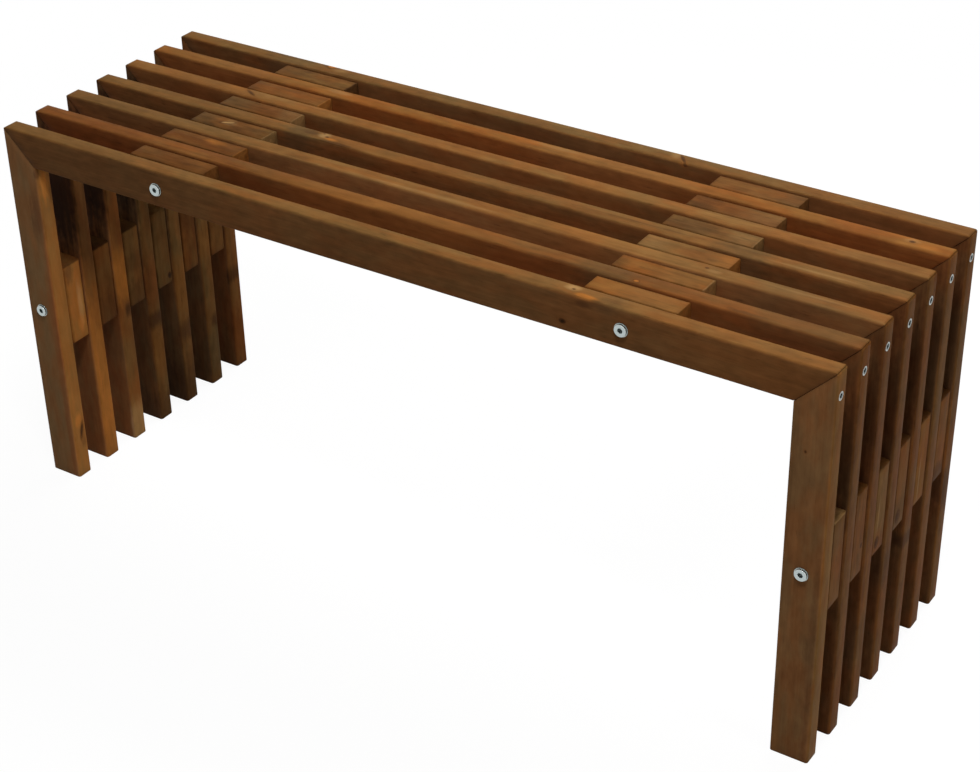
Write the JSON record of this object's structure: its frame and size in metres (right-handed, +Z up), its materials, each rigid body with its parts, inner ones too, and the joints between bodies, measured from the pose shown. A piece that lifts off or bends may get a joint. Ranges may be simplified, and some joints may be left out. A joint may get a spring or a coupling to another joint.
{
  "type": "slatted bench",
  "caption": "Slatted bench: parallel mitred timber frames held apart by spacer blocks and drawn together by steel tie rods.",
  "frame": {"origin": "under the middle of the bench, on the floor that its legs stand on", "axes": "+X along the seat from the left legs to the right legs as the picture shows them, -Y towards the front, +Z up"},
  "size_m": [1, 0.3272, 0.45],
  "materials": {
    "rail_pine": "stained pine, warm brown, satin oil",
    "leg_pine": "stained pine, dark red-brown, satin oil",
    "spacer_pine": "stained pine, mixed browns, darker end grain",
    "zinc_steel": "bright zinc plating"
  },
  "bodies": {
    "root": {"rail_1": "rail_pine", "rail_2": "rail_pine", "rail_3": "rail_pine", "rail_4": "rail_pine", "rail_5": "rail_pine", "rail_6": "rail_pine", "rail_7": "rail_pine", "left_leg_1": "leg_pine", "left_leg_2": "leg_pine", "left_leg_3": "leg_pine", "left_leg_4": "leg_pine", "left_leg_5": "leg_pine", "left_leg_6": "leg_pine", "left_leg_7": "leg_pine", "right_leg_1": "leg_pine", "right_leg_2": "leg_pine", "right_leg_3": "leg_pine", "right_leg_4": "leg_pine", "right_leg_5": "leg_pine", "right_leg_6": "leg_pine", "right_leg_7": "leg_pine", "seat_left_spacer_1": "spacer_pine", "seat_left_spacer_2": "spacer_pine", "seat_left_spacer_3": "spacer_pine", "seat_left_spacer_4": "spacer_pine", "seat_left_spacer_5": "spacer_pine", "seat_left_spacer_6": "spacer_pine", "seat_right_spacer_1": "spacer_pine", "seat_right_spacer_2": "spacer_pine", "seat_right_spacer_3": "spacer_pine", "seat_right_spacer_4": "spacer_pine", "seat_right_spacer_5": "spacer_pine", "seat_right_spacer_6": "spacer_pine", "left_leg_spacer_1": "spacer_pine", "left_leg_spacer_2": "spacer_pine", "left_leg_spacer_3": "spacer_pine", "left_leg_spacer_4": "spacer_pine", "left_leg_spacer_5": "spacer_pine", "left_leg_spacer_6": "spacer_pine", "right_leg_spacer_1": "spacer_pine", "right_leg_spacer_2": "spacer_pine", "right_leg_spacer_3": "spacer_pine", "right_leg_spacer_4": "spacer_pine", "right_leg_spacer_5": "spacer_pine", "right_leg_spacer_6": "spacer_pine", "seat_left_tie_rod": "zinc_steel", "seat_left_front_nut": "zinc_steel", "seat_left_rear_nut": "zinc_steel", "seat_right_tie_rod": "zinc_steel", "seat_right_front_nut": "zinc_steel", "seat_right_rear_nut": "zinc_steel", "left_leg_tie_rod": "zinc_steel", "left_leg_front_nut": "zinc_steel", "left_leg_rear_nut": "zinc_steel", "right_leg_tie_rod": "zinc_steel", "right_leg_front_nut": "zinc_steel", "right_leg_rear_nut": "zinc_steel"}
  },
  "joints": []
}
